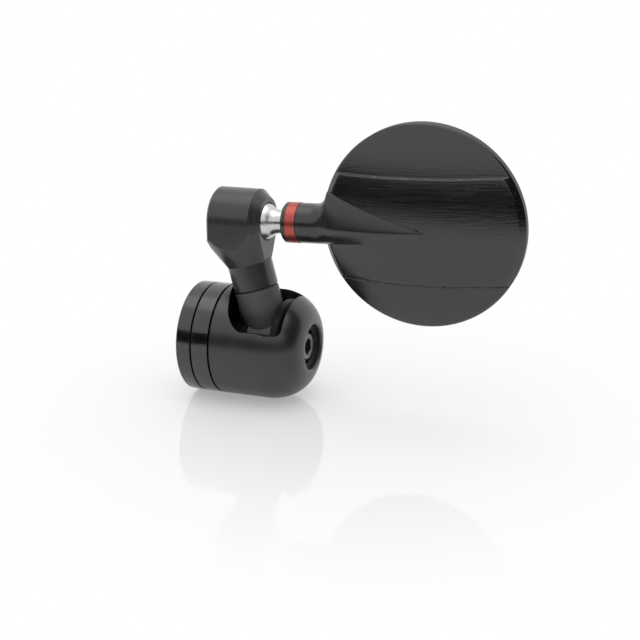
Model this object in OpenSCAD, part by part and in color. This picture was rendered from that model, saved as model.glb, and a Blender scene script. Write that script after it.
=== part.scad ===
// Motorcycle bar end mirror: two bar rings, a slotted domed body, a leaning arm,
// a ball joint and a round mirror head on a slim neck.
// Origin: centre of the face that meets the end of the handlebar.
// +X points outward along the bar, +Y is the way the glass faces, +Z is up.

/* [Bar end rings] */
// Outside diameter of the rings and the body
body_d = 40; // [36:0.5:46]
// Length of the spacer ring that meets the handlebar
spacer_len = 5.8; // [4:0.2:9]
// Length of the second ring, the flange of the pivot base
flange_len = 6.9; // [5:0.1:10]
// Chamfer on the ring edges, which makes the dark lines between them
ring_chamfer = 0.4; // [0.2:0.1:0.8]
// Diameter of the register that centres the spacer ring on the pivot base
register_d = 20; // [16:0.5:24]
// Diameter of the hole for the bar adaptor's bolt
bar_hole_d = 8; // [6:0.5:10]
// Depth of the hole for the bar adaptor's bolt
bar_hole_len = 10; // [8:0.5:11]

/* [Domed body] */
// Length of the rounded part of the dome
dome_len = 15; // [12:0.5:18]
// Thickness of the shell's wall
shell_wall = 3; // [2.2:0.1:3.4]
// Diameter of the mouth of the screw recess in the dome
recess_d = 17.2; // [16:0.1:20]
// Depth of the screw recess down to its ledge
recess_depth = 2.4; // [1.5:0.1:3]
// Distance from the body's outer end to the seat of the screw washer
seat_depth = 7; // [6:0.1:8]
// Width of the closed hoop between the flange and the arm slot
slot_margin = 1.5; // [1:0.1:3]
// Distance from the arm's axis to the outboard end of the slot
slot_out = 10.6; // [10:0.1:11]
// Distance from the near edge of the slot to the side of the body
slot_side = 1.8; // [1.5:0.1:2.4]
// Height of the slot's floor above the bar's axis
slot_floor = 7.6; // [6:0.1:7.8]
// Radius of the slot's near corner at its inboard end
slot_r_in = 7.5; // [4:0.5:10]
// Distance that the slot's near corner stands back from its middle
slot_step = 3.2; // [1:0.1:4]
// Radius between the slot's floor and its outboard end
slot_r_out = 2; // [1:0.5:4]

/* [Pivot] */
// Diameter of the journal that the body turns on
journal_d = 12; // [10:0.5:13]
// Wall of the plastic bush on the journal
bush_wall = 1.2; // [0.8:0.1:1.5]
// Diameter of the main screw's thread
screw_d = 6; // [5:0.5:7]
// Diameter of the main screw's head
screw_head_d = 10.4; // [9:0.1:11.5]
// Height of the main screw's head
screw_head_h = 4; // [3:0.1:4.5]
// Width across the flats of the main screw's hexagon recess
screw_hex = 5.4; // [4:0.1:6]
// Diameter of the washer under the main screw's head
washer_d = 12.4; // [11.6:0.1:12.6]
// Thickness of the washer under the main screw's head
washer_t = 1; // [0.6:0.1:1.4]
// Clearance between the outer clamp disc and the shell's wall
disc_gap = 0.5; // [0.3:0.1:1.5]
// Thickness of the outer clamp disc
disc_t = 3.7; // [3.4:0.1:4]

/* [Arm] */
// Clearance between the leaning stem and the inboard end of the slot
slot_gap = 0.47; // [0.3:0.01:1.5]
// Lean of the arm towards the bar, in degrees
arm_lean = 14.9; // [10:0.1:16]
// Diameter of the arm's stem
stem_d = 16.06; // [14:0.01:16.4]
// Width of the arm's eye along the bar
eye_w = 11.6; // [10:0.1:12]
// Diameter of the arm's eye
eye_d = 18.8; // [18:0.1:20]
// Diameter of the stem's taper where it enters the eye
taper_d = 11.4; // [10:0.1:13]
// Distance along the arm to the top of the taper
taper_end = 12.7; // [11:0.1:14]
// Distance along the arm to the joint between its two halves
split_at = 20.5; // [19:0.1:22]
// Distance along the arm to the flare under the head
flare_at = 29.9; // [28:0.1:31]
// Half angle of the flare under the head, in degrees
flare_angle = 26; // [20:1:30]
// Diameter of the spigot that joins the arm's halves
spigot_d = 9; // [8:0.5:10]
// Length of the spigot that joins the arm's halves
spigot_len = 10; // [8:0.5:11]
// Thickness of the plastic washer in the arm's joint
split_gap = 0.6; // [0.4:0.1:1]

/* [Arm head] */
// Height of the ball above the bar's axis
ball_z = 44.5; // [43:0.5:50]
// Diameter of the arm's head
head_d = 22.7; // [21:0.1:26]
// Distance from the arm's axis, at the ball's height, to the head's inboard end
head_back = 7.56; // [7:0.01:9]
// Length of the arm's head
head_len = 19; // [18:0.1:21]
// Small chamfer at the head's inboard end
head_chamfer = 0.8; // [0.4:0.1:1.5]
// Length of the long chamfer at the head's outboard end
nose_chamfer = 3.1; // [2:0.1:3.5]
// Diameter of the head's outboard face
nose_d = 17; // [16.6:0.1:19]
// Diameter of the bore that holds the ball seats
socket_d = 16.2; // [15.8:0.1:16.6]
// Thickness of the lip round the mouth of the socket
lip_t = 0.9; // [0.7:0.1:1.2]
// Width across the flats of the tension plug's hexagon recess
plug_hex = 8; // [6:0.5:10]

/* [Ball joint] */
// Diameter of the ball
ball_d = 14; // [13:0.1:14.4]
// Distance from the head's outboard face back to the ball's centre
ball_back = 2.7; // [2.4:0.1:3]
// Diameter of the stud behind the ball
stud_d = 8.4; // [7:0.1:9]
// Diameter of the stud's journal inside the neck
stud_journal_d = 6; // [5:0.1:6.6]
// Rise of the mirror about the ball, in degrees
mirror_raise = 1.6; // [0:0.1:10]
// Turn of the mirror about its stud, in degrees
mirror_turn = 4.5; // [0:0.5:20]

/* [Mirror neck] */
// Diameter of the neck
neck_d = 14.3; // [12:0.1:16]
// Distance from the ball's centre to the tip of the neck
neck_start = 10; // [9:0.1:12]
// Length of the black nose ring
nose_len = 1.75; // [1.2:0.05:3]
// Width of the coloured ring
red_len = 3.6; // [2:0.1:6]
// Diameter of the seat under the coloured ring
red_seat_d = 10.8; // [9.6:0.1:11.4]
// Distance from the ball's centre to the near edge of the mirror head
neck_reach = 24.9; // [23:0.1:34]
// Length of the neck's root in front of the mirror head's near edge
root_len = 4.4; // [3:0.1:6]
// Radius of the fillet between the neck and the top of the mirror's rim
neck_fillet_r = 6; // [3:0.5:9]

/* [Mirror head] */
// Diameter of the mirror head
mirror_d = 70.2; // [60:0.1:80]
// Height of the mirror head's middle above the neck's axis
mirror_up = 1; // [0:0.1:2]
// Thickness of the mirror head at its rim
rim_t = 3.8; // [3.4:0.1:6]
// Distance of the rim's back edge behind the neck's axis
rim_back = 2.9; // [2:0.1:3.5]
// Height of the domed back above the rim
dome_h = 7.2; // [4:0.1:10]
// Height of the raised band across the back
band_h = 0.8; // [0.3:0.1:1.2]
// Width of the raised band across the back
band_w = 35.8; // [26:0.1:42]
// Width of the spear-shaped root above the middle of the mirror, at the near edge
spear_up = 11.5; // [9:0.1:12]
// Distance of the spear's tip beyond the middle of the mirror
spear_tip = 3.5; // [-8:0.5:8]
// Width of the rim round the glass
rim_w = 1.5; // [1:0.1:2.5]
// Thickness of the mirror glass
glass_t = 2; // [1.5:0.1:2.2]
// Thickness of the adhesive pad behind the glass
pad_t = 0.6; // [0.4:0.1:0.8]

/* [Hidden] */
$fn = 96;

run_gap = 0.06;        // radial clearance of a running fit
face_gap = 0.1;        // clearance between flat faces that slide
fit_gap = 0.02;        // clearance of a close fit that does not move
free_gap = 0.3;        // clearance of parts that pass freely

body_r = body_d / 2;
flange_x = spacer_len;
shell_x = spacer_len + flange_len;
cavity_r = body_r - shell_wall;
register_t = 1.4;      // lip that centres the shell on the pivot base
shoulder_t = 3.2;      // shoulder on the pivot base that carries the inner clamp disc
shoulder_r = 8.6;

stem_r = stem_d / 2;
slot_x = shell_x + slot_margin;
arm_x = slot_x + slot_gap + stem_r / cos(arm_lean) + body_r * tan(arm_lean);
slot_end = arm_x + slot_out;
hub_x0 = arm_x - eye_w / 2;
hub_x1 = arm_x + eye_w / 2;
inner_disc_r = eye_d / 2 - 1;
disc_room = 0.2;       // clearance round the inner clamp disc in the arm's foot
edge_c = 0.4;          // small chamfer on the clamp discs
disc_x = hub_x1 + face_gap;
disc_end = disc_x + disc_t;
disc_r = cavity_r - disc_gap;
disc_bevel = 1.2;
disc_sink = 1.5;       // depth of the disc's recess that takes the boss
boss_r = 8.5;          // boss inside the dome that presses on the outer clamp disc
boss_t = 1.6;
boss_x = disc_end - disc_sink;
cavity_end = disc_end + edge_c;
seat_x = boss_x + boss_t;
end_x = seat_x + seat_depth;
dome_x = end_x - dome_len;
ledge_x = end_x - recess_depth;
recess_c = 0.5;        // chamfer round the mouth of the screw recess
deep_r = washer_d / 2 + free_gap;
journal_r = journal_d / 2;
journal_end = boss_x - 0.2;   // the screw pulls the boss on to the disc, not the journal
screw_len = 16;
screw_tip_gap = 2;     // room for the drill's point under the screw
head_c = 0.7;          // chamfer on the main screw's head
screw_hex_deep = 0.7 * screw_head_h;

split_low = split_at - split_gap / 2;
split_high = split_at + split_gap / 2;
split_c = 0.2;         // chamfer at the arm's joint
spigot_r = spigot_d / 2;
spigot_end = split_low - spigot_len;
groove_at = split_low - spigot_len / 2;
groove_w = 3.4;
groove_deep = 0.9;
grub_d = 3;
grub_hex = 1.5;
grub_hex_deep = 1.2;
grub_sink = 0.4;       // depth of a grub screw's end below the surface
grub_tip_gap = 0.3;

head_x = arm_x - ball_z * tan(arm_lean) - head_back;
head_end = head_x + head_len;
head_r = head_d / 2;
skirt = ball_z + stem_r - flare_at * cos(arm_lean);
flare_h = ball_z + head_d - flare_at;
ball_x = head_end - ball_back;
ball_r = ball_d / 2;
socket_r = socket_d / 2;
socket_end = head_end - lip_t;
ball_gap = 0.3;        // clearance between the ball and the lip of the socket
seat_gap = 0.06;       // clearance between the ball and its seats
seat_r = socket_r - run_gap - fit_gap;
seat_back = 8.5;       // distance from the ball's centre to the back of the rear seat
spring_t = 1.7;
spring_wall = 0.9;
spring_hole_r = 4;
spring_end = ball_x - seat_back - face_gap;
plug_inset = 0.7;
plug_hex_deep = 3.2;
stud_r = stud_d / 2;
stud_journal_r = stud_journal_d / 2;

neck_r = neck_d / 2;
nose_c = 0.5;          // chamfer at the tip of the neck
red_x = neck_start + nose_len;
neck_x = red_x + red_len;
neck_end = neck_reach - root_len;
journal_tip = neck_reach - 1;
stud_groove = (neck_x + journal_tip) / 2;
stud_groove_deep = 0.8;
mirror_r = mirror_d / 2;
mirror_reach = neck_reach + mirror_r;
recess_r = mirror_r - rim_w;
rim_front = rim_t - rim_back;
rim_c = 0.3;           // chamfer at the front of the rim
back_c = 0.5;          // chamfer at the back of the rim
back_r = mirror_r - back_c;
dome_ball_r = (back_r * back_r + dome_h * dome_h) / (2 * dome_h);
fillet_z = neck_r + neck_fillet_r;
fillet_x = mirror_reach - sqrt(pow(mirror_r + neck_fillet_r, 2) - pow(fillet_z - mirror_up, 2));
spear_start = 2;       // distance of the spear's widest place in from the rim
spear_steps = 12;
spear_lift = 0.1;      // height of the spear's edge above the band
spear_dot = 0.3;       // size of the dots that the spear's edge is drawn through
pad_y = rim_front - glass_t - pad_t;
pad_gap = 1;
glass_gap = 0.1;
glass_c = 0.3;
dome_steps = 24;

// Solid turned about the X axis from [radius, x] points
module turned(points) {
    rotate([0, 90, 0]) rotate_extrude() polygon(points);
}

// Straight rod along the X axis
module rod(r, x0, x1) {
    translate([x0, 0, 0]) rotate([0, 90, 0]) cylinder(r = r, h = x1 - x0);
}

// Places a shape on the arm's axis, with Z along the arm
module on_arm() {
    translate([arm_x, 0, 0]) rotate([0, -arm_lean, 0]) children();
}

// Places a shape on the ball's centre, with X along the stud
module on_ball() {
    translate([ball_x, 0, ball_z]) rotate([0, -mirror_raise, 0]) children();
}

// Places a shape in the mirror's frame, with +Y the way the glass faces
module on_mirror() {
    on_ball() rotate([mirror_turn, 0, 0]) children();
}

// Solid turned about the middle of the mirror from [radius, y] points
module turned_mirror(points) {
    translate([mirror_reach, 0, mirror_up]) rotate([-90, 0, 0]) rotate_extrude($fn = 160) polygon(points);
}

// Hexagon recess cut along X
module hex_cut(flats, x0, x1) {
    translate([x0, 0, 0]) rotate([0, 90, 0]) cylinder(d = flats / cos(30), h = x1 - x0, $fn = 6);
}

// Grub screw along Z from its tip to its socket end
module grub_screw(tip, end) {
    difference() {
        translate([0, 0, tip]) cylinder(d = grub_d, h = end - tip);
        translate([0, 0, end - grub_hex_deep])
            cylinder(d = grub_hex / cos(30), h = grub_hex_deep + 1, $fn = 6);
    }
}

// Spacer ring that meets the handlebar
module bar_spacer() {
    bore = register_d / 2 + fit_gap;
    c = ring_chamfer;
    color([0.09, 0.09, 0.1]) turned([
        [bore, 0], [body_r - c, 0], [body_r, c],
        [body_r, flange_x - c], [body_r - c, flange_x], [bore, flange_x]
    ]);
}

// Flange, register and journal, turned in one piece
module pivot_base() {
    c = ring_chamfer;
    lip_r = cavity_r - run_gap;
    color([0.09, 0.09, 0.1]) difference() {
        turned([
            [0, 0], [register_d / 2, 0], [register_d / 2, flange_x],
            [body_r - c, flange_x], [body_r, flange_x + c], [body_r, shell_x - c], [body_r - c, shell_x],
            [lip_r, shell_x], [lip_r, shell_x + register_t], [shoulder_r, shell_x + register_t],
            [shoulder_r, shell_x + shoulder_t], [journal_r, shell_x + shoulder_t],
            [journal_r, journal_end], [0, journal_end]
        ]);
        rod(bar_hole_d / 2, -1, bar_hole_len);
        rod(screw_d / 2 + fit_gap, journal_end - screw_len, journal_end + 1);
    }
}

// Outline of the domed body from the slot end of its wall to the screw recess
function dome_points() = [
    for (i = [0 : dome_steps])
        let (a = 90 * i / dome_steps)
        [recess_d / 2 + (body_r - recess_d / 2) * cos(a), dome_x + dome_len * sin(a)]
];

// Plan outline of the arm slot, which runs down the near side and clears the stem on the far side
module slot_plan() {
    near = body_r - slot_side;
    far = stem_r + slot_gap;
    hull() {
        translate([slot_x + slot_step + slot_r_in, slot_r_in - near]) circle(r = slot_r_in);
        translate([slot_x + far, 0]) circle(r = far);
        translate([slot_end, -near]) square([1, near + far]);
    }
}

// Side outline of the arm slot, with its floor and the round corner at its outboard end
module slot_profile() {
    hull() {
        translate([slot_x - 1, slot_floor]) square([1, body_r]);
        translate([slot_end - slot_r_out, slot_floor + slot_r_out]) circle(r = slot_r_out);
        translate([slot_end - 1, body_r]) square(1);
    }
}

// Domed, slotted body shell with its screw recess
module body_shell() {
    x0 = shell_x + face_gap;
    mouth_r = recess_d / 2 - recess_c;
    color([0.06, 0.06, 0.07]) difference() {
        turned(concat(
            [[0, x0], [body_r - ring_chamfer, x0], [body_r, x0 + ring_chamfer]],
            dome_points(),
            [[0, end_x]]
        ));
        turned([
            [0, x0 - 1], [cavity_r, x0 - 1], [cavity_r, cavity_end],
            [boss_r, cavity_end], [boss_r, boss_x], [0, boss_x]
        ]);
        rod(mouth_r, ledge_x, end_x + 1);
        turned([
            [0, end_x - recess_c], [mouth_r, end_x - recess_c],
            [mouth_r + 2 * recess_c, end_x + recess_c], [0, end_x + recess_c]
        ]);
        rod(deep_r, seat_x, end_x);
        rod(screw_d / 2 + free_gap, boss_x - 1, seat_x + 1);
        intersection() {
            linear_extrude(height = body_r + 1) slot_plan();
            translate([0, body_r + 1, 0]) rotate([90, 0, 0])
                linear_extrude(height = body_d + 2) slot_profile();
        }
    }
}

// Clamp disc between the arm's eye and the dome
module outer_clamp_disc() {
    recess = boss_r + free_gap;
    color([0.2, 0.2, 0.21]) turned([
        [journal_r + run_gap, disc_x], [disc_r - edge_c, disc_x], [disc_r, disc_x + edge_c],
        [disc_r, disc_end - disc_bevel], [disc_r - disc_bevel, disc_end], [recess, disc_end],
        [recess, boss_x], [journal_r + run_gap, boss_x]
    ]);
}

// Clamp disc between the arm's eye and the pivot base
module inner_clamp_disc() {
    x0 = shell_x + shoulder_t + face_gap;
    x1 = hub_x0 - face_gap;
    r = inner_disc_r;
    color([0.2, 0.2, 0.21]) turned([
        [journal_r + run_gap, x0], [r - edge_c, x0], [r, x0 + edge_c],
        [r, x1 - edge_c], [r - edge_c, x1], [journal_r + run_gap, x1]
    ]);
}

// Plastic bush that the arm's eye turns on
module pivot_bush() {
    color([0.85, 0.84, 0.8]) difference() {
        rod(journal_r + bush_wall, hub_x0, hub_x1);
        rod(journal_r + run_gap, hub_x0 - 1, hub_x1 + 1);
    }
}

// Socket head screw that holds the body on the journal
module main_screw() {
    tip = journal_end - screw_len + screw_tip_gap;
    x0 = seat_x + washer_t + fit_gap;
    x1 = x0 + screw_head_h;
    r = screw_head_d / 2;
    hex_r = screw_hex / 2;
    color([0.42, 0.42, 0.44]) difference() {
        turned([
            [0, tip], [screw_d / 2, tip], [screw_d / 2, x0],
            [r, x0], [r, x1 - head_c], [r - head_c, x1], [0, x1]
        ]);
        hex_cut(screw_hex, x1 - screw_hex_deep, x1 + 1);
        turned([
            [0, x1 - split_c], [hex_r + split_c, x1 - split_c],
            [hex_r + head_c, x1 + split_c], [0, x1 + split_c]
        ]);
    }
}

// Washer under the main screw's head
module screw_washer() {
    color([0.6, 0.6, 0.62]) difference() {
        rod(washer_d / 2, seat_x + fit_gap, seat_x + washer_t);
        rod(screw_d / 2 + free_gap, seat_x - 1, seat_x + washer_t + 1);
    }
}

// Taper and stem of the arm's lower half, milled away round the inner clamp disc
module arm_stem() {
    difference() {
        on_arm() rotate_extrude() polygon([
            [0, 0], [taper_d / 2, 0], [stem_r, taper_end],
            [stem_r, split_low - split_c], [stem_r - split_c, split_low], [0, split_low]
        ]);
        rod(inner_disc_r + disc_room, shell_x, arm_x);
    }
}

// Lower half of the arm: eye, taper and stem
module arm_base() {
    color([0.08, 0.08, 0.09]) difference() {
        union() {
            rod(eye_d / 2, hub_x0, hub_x1);
            arm_stem();
        }
        rod(journal_r + bush_wall + fit_gap, hub_x0 - 1, hub_x1 + 1);
        on_arm() translate([0, 0, spigot_end - split_gap])
            cylinder(r = spigot_r + run_gap, h = spigot_len + 1);
        on_arm() translate([0, 0, groove_at]) rotate([-90, 0, 0])
            cylinder(d = grub_d + 2 * fit_gap, h = stem_r + 1);
    }
}

// Grub screw on the far side of the stem, with its tip in the spigot's groove
module stem_grub_screw() {
    tip = spigot_r - groove_deep + grub_tip_gap;
    color([0.35, 0.35, 0.37]) on_arm() translate([0, 0, groove_at]) rotate([-90, 0, 0])
        grub_screw(tip, stem_r - grub_sink);
}

// Plastic washer in the joint between the arm's halves
module stem_washer() {
    color([0.02, 0.02, 0.02]) on_arm() translate([0, 0, split_low]) difference() {
        cylinder(r = stem_r - grub_tip_gap, h = split_gap - face_gap);
        translate([0, 0, -1]) cylinder(r = spigot_r + run_gap + fit_gap, h = split_gap + 2);
    }
}

// Half outline of the head as [radius, x] points
function head_outline() = [
    [head_r - head_chamfer, head_x], [head_r, head_x + head_chamfer],
    [head_r, head_end - nose_chamfer], [nose_d / 2, head_end]
];

// Arch-shaped head block: turned above the ball's height, straight-sided below it
module head_block() {
    half = head_outline();
    translate([0, 0, ball_z]) turned(concat([[0, head_x]], half, [[0, head_end]]));
    translate([0, 0, ball_z - skirt]) linear_extrude(height = skirt) polygon(concat(
        [for (p = half) [p[1], p[0]]],
        [for (i = [len(half) - 1 : -1 : 0]) [half[i][1], -half[i][0]]]
    ));
}

// Upper half of the arm: spigot, stem, flare and ball socket
module arm_head() {
    color([0.08, 0.08, 0.09]) difference() {
        union() {
            intersection() {
                head_block();
                on_arm() translate([0, 0, flare_at])
                    cylinder(r1 = stem_r, r2 = stem_r + flare_h * tan(flare_angle), h = flare_h);
            }
            on_arm() translate([0, 0, split_high + split_c])
                cylinder(r = stem_r, h = flare_at - split_high);
            on_arm() translate([0, 0, split_high])
                cylinder(r1 = stem_r - split_c, r2 = stem_r, h = split_c);
            on_arm() translate([0, 0, spigot_end]) cylinder(r = spigot_r, h = spigot_len + split_gap + 1);
        }
        translate([0, 0, ball_z]) rod(socket_r, head_x - 1, socket_end);
        translate([ball_x, 0, ball_z]) sphere(r = ball_r + ball_gap);
        on_arm() translate([0, 0, groove_at - groove_w / 2]) difference() {
            cylinder(r = spigot_r + 1, h = groove_w);
            translate([0, 0, -1]) cylinder(r = spigot_r - groove_deep, h = groove_w + 2);
        }
    }
}

// Rear ball seat, a cup pressed by the spring
module ball_seat_rear() {
    x0 = ball_x - seat_back;
    color([0.9, 0.89, 0.85]) difference() {
        translate([0, 0, ball_z]) rod(seat_r, x0, ball_x - ball_gap);
        translate([ball_x, 0, ball_z]) sphere(r = ball_r + seat_gap);
    }
}

// Front ball seat, a ring behind the lip of the socket
module ball_seat_front() {
    color([0.9, 0.89, 0.85]) difference() {
        translate([0, 0, ball_z]) rod(seat_r, ball_x + face_gap, socket_end - face_gap);
        translate([ball_x, 0, ball_z]) sphere(r = ball_r + seat_gap);
    }
}

// Coned spring washer behind the rear seat
module seat_spring() {
    x0 = spring_end - spring_t;
    r = seat_r - ball_gap;
    color([0.5, 0.5, 0.52]) translate([0, 0, ball_z]) turned([
        [spring_hole_r, spring_end - spring_wall], [r, x0],
        [r, x0 + spring_wall], [spring_hole_r, spring_end]
    ]);
}

// Plug that sets the ball's friction, with a hexagon recess
module tension_plug() {
    x0 = head_x + plug_inset;
    x1 = spring_end - spring_t - fit_gap;
    r = socket_r - 2 * fit_gap;
    color([0.12, 0.12, 0.13]) translate([0, 0, ball_z]) difference() {
        turned([[0, x0], [r - nose_c, x0], [r, x0 + nose_c], [r, x1], [0, x1]]);
        hex_cut(plug_hex, x0 - 1, x0 + plug_hex_deep);
    }
}

// Polished ball and stud, turned in one piece
module ball_stud() {
    shoulder = red_x - face_gap;
    g0 = stud_groove - groove_w / 2;
    g1 = stud_groove + groove_w / 2;
    rj = stud_journal_r;
    rg = rj - stud_groove_deep;
    color([0.8, 0.8, 0.82]) on_ball() {
        sphere(r = ball_r);
        turned([
            [0, 0], [stud_r, 0], [stud_r, shoulder], [rj, shoulder], [rj, g0], [rg, g0],
            [rg, g1], [rj, g1], [rj, journal_tip - nose_c], [rj - nose_c, journal_tip], [0, journal_tip]
        ]);
    }
}

// Black nose ring at the tip of the neck
module neck_nose() {
    color([0.08, 0.08, 0.09]) on_mirror() turned([
        [stud_r + run_gap, neck_start], [neck_r - nose_c, neck_start], [neck_r, neck_start + nose_c],
        [neck_r, red_x], [stud_r + run_gap, red_x]
    ]);
}

// Coloured anodised ring on the neck
module red_ring() {
    color([0.6, 0.08, 0.05]) on_mirror() difference() {
        rod(neck_r, red_x, neck_x);
        rod(red_seat_d / 2 + fit_gap, red_x - 1, neck_x + 1);
    }
}

// Depth of the raised band's surface at a place on the mirror, from its middle
function band_y(x, z) =
    -rim_back - band_h - dome_h + dome_ball_r - sqrt(dome_ball_r * dome_ball_r - x * x - z * z);

// Ball that domes the back of the mirror, raised by lift
module dome_ball(lift) {
    translate([mirror_reach, dome_ball_r - rim_back - dome_h - lift, mirror_up])
        sphere(r = dome_ball_r, $fn = 240);
}

// Domed blank of the mirror head, turned with its rim and its two chamfers
module mirror_blank() {
    intersection() {
        dome_ball(band_h);
        turned_mirror([
            [0, back_c - rim_back - back_r], [mirror_r - back_r, back_c - rim_back - back_r],
            [mirror_r, back_c - rim_back], [mirror_r, rim_front - rim_c],
            [mirror_r - rim_c, rim_front], [0, rim_front]
        ]);
    }
}

// Step milled along one side of the raised band, down to the lower dome
module band_step(z0) {
    difference() {
        translate([neck_reach - 1, -mirror_r, z0]) cube([mirror_d + 2, mirror_r - rim_back + back_c, mirror_r]);
        dome_ball(0);
    }
}

// Dots along one edge of the spear, on the band, from the near edge to the tip
module spear_edge(z0) {
    for (i = [0 : spear_steps]) {
        t = i / spear_steps;
        x = spear_tip * t - (mirror_r - spear_start) * (1 - t);
        z = z0 * (1 - t);
        translate([mirror_reach + x, band_y(x, z) - spear_lift + spear_dot / 2, mirror_up + z])
            cube(spear_dot, center = true);
    }
}

// Spear-shaped root that carries the neck across the dome and fades out at its tip
module neck_root() {
    hull() {
        rod(neck_r, neck_end, neck_end + nose_c);
        spear_edge(spear_up);
        spear_edge(spear_dot / 2 - neck_r - mirror_up);
        translate([mirror_reach - mirror_r / 2, 0, 0]) cube(spear_dot, center = true);
    }
}

// Machined back of the mirror with its neck
module mirror_housing() {
    color([0.08, 0.08, 0.09]) on_mirror() difference() {
        union() {
            difference() {
                mirror_blank();
                band_step(mirror_up + band_w / 2);
                band_step(mirror_up - band_w / 2 - mirror_r);
            }
            rod(neck_r, neck_x, neck_end);
            rod(red_seat_d / 2, red_x, neck_x + 1);
            neck_root();
        }
        translate([fillet_x, mirror_r, fillet_z]) rotate([90, 0, 0])
            cylinder(r = neck_fillet_r, h = mirror_d);
        turned_mirror([
            [0, rim_front], [mirror_r - rim_c, rim_front], [mirror_r + back_c, 2 * neck_r], [0, 2 * neck_r]
        ]);
        turned_mirror([[0, pad_y], [recess_r, pad_y], [recess_r, rim_front + 1], [0, rim_front + 1]]);
        rod(stud_journal_r + run_gap, red_x - 1, journal_tip + nose_c);
        translate([stud_groove, 0, 0]) rotate([180, 0, 0])
            cylinder(d = grub_d + 2 * fit_gap, h = 2 * neck_r);
    }
}

// Grub screw under the neck, with its tip in the stud's groove
module neck_grub_screw() {
    tip = stud_journal_r - stud_groove_deep + grub_tip_gap;
    color([0.35, 0.35, 0.37]) on_mirror() translate([stud_groove, 0, 0]) rotate([180, 0, 0])
        grub_screw(tip, neck_r - grub_sink);
}

// Adhesive pad behind the glass
module mirror_pad() {
    color([0.15, 0.15, 0.15]) on_mirror() turned_mirror([
        [0, pad_y], [recess_r - pad_gap, pad_y], [recess_r - pad_gap, pad_y + pad_t], [0, pad_y + pad_t]
    ]);
}

// Round mirror glass
module mirror_glass() {
    y0 = pad_y + pad_t;
    r = recess_r - glass_gap;
    color([0.75, 0.8, 0.85]) on_mirror() turned_mirror([
        [0, y0], [r, y0], [r, y0 + glass_t - glass_c], [r - glass_c, y0 + glass_t], [0, y0 + glass_t]
    ]);
}

bar_spacer();
pivot_base();
body_shell();
outer_clamp_disc();
inner_clamp_disc();
pivot_bush();
main_screw();
screw_washer();
arm_base();
stem_washer();
arm_head();
stem_grub_screw();
ball_seat_rear();
ball_seat_front();
seat_spring();
tension_plug();
ball_stud();
neck_nose();
red_ring();
mirror_housing();
neck_grub_screw();
mirror_pad();
mirror_glass();
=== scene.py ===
import math

import bpy
from mathutils import Matrix, Vector


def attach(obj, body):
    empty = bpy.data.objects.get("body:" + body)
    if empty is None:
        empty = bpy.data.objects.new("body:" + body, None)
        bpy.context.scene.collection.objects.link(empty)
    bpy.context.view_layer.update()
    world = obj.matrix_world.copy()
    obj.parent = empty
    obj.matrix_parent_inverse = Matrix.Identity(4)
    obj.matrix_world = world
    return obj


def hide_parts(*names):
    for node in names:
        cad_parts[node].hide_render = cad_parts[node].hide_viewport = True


# motorcycle bar end mirror, dressed for the photograph's view
# metres, +X outward along the handlebar, +Y the way the glass faces, +Z up
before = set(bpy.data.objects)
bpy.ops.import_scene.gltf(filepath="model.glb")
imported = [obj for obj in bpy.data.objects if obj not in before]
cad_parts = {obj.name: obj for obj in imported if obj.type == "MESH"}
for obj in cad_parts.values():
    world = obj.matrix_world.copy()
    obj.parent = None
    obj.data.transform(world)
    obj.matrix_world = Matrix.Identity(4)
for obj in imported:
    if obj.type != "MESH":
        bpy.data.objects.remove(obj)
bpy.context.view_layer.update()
mm = 0.001
fineRelief = 0.02 * mm  # depth of grain and tool marks where a finish gives no other
print("frame loaded:", len(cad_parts), "nodes")


# small helpers for shader nodes
def addNode(tree, kind, x, y, **options):
    node = tree.nodes.new(kind)
    node.location = (x, y)
    for name, value in options.items():
        setattr(node, name, value)
    return node


def startGroup(name, inputs, outputs):
    group = bpy.data.node_groups.new(name, "ShaderNodeTree")
    for label, kind, value in inputs:
        socket = group.interface.new_socket(label, in_out="INPUT", socket_type=kind)
        if value is not None:
            socket.default_value = value
    for label, kind in outputs:
        group.interface.new_socket(label, in_out="OUTPUT", socket_type=kind)
    source = addNode(group, "NodeGroupInput", -900, 0)
    sink = addNode(group, "NodeGroupOutput", 700, 0)
    return group, source, sink


def mathNode(tree, operation, x, y, a=None, b=None):
    node = addNode(tree, "ShaderNodeMath", x, y, operation=operation)
    for socket, value in zip(node.inputs, (a, b)):
        if isinstance(value, bpy.types.NodeSocket):
            tree.links.new(value, socket)
        elif value is not None:
            socket.default_value = value
    return node.outputs[0]


# shader groups that the finishes share
def makeTurnedCoords():
    # place along the axis and radius round it, so that a pattern runs in circles
    group, source, sink = startGroup(
        "turnedCoords",
        [("Vector", "NodeSocketVector", None)],
        [("Vector", "NodeSocketVector")],
    )
    links = group.links
    split = addNode(group, "ShaderNodeSeparateXYZ", -700, 0)
    links.new(source.outputs["Vector"], split.inputs[0])
    ySquare = mathNode(group, "MULTIPLY", -500, -100, split.outputs["Y"], split.outputs["Y"])
    zSquare = mathNode(group, "MULTIPLY", -500, -260, split.outputs["Z"], split.outputs["Z"])
    total = mathNode(group, "ADD", -300, -160, ySquare, zSquare)
    radius = mathNode(group, "SQRT", -120, -160, total)
    join = addNode(group, "ShaderNodeCombineXYZ", 100, 0)
    links.new(split.outputs["X"], join.inputs["X"])
    links.new(radius, join.inputs["Y"])
    links.new(join.outputs[0], sink.inputs["Vector"])
    return group


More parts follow.
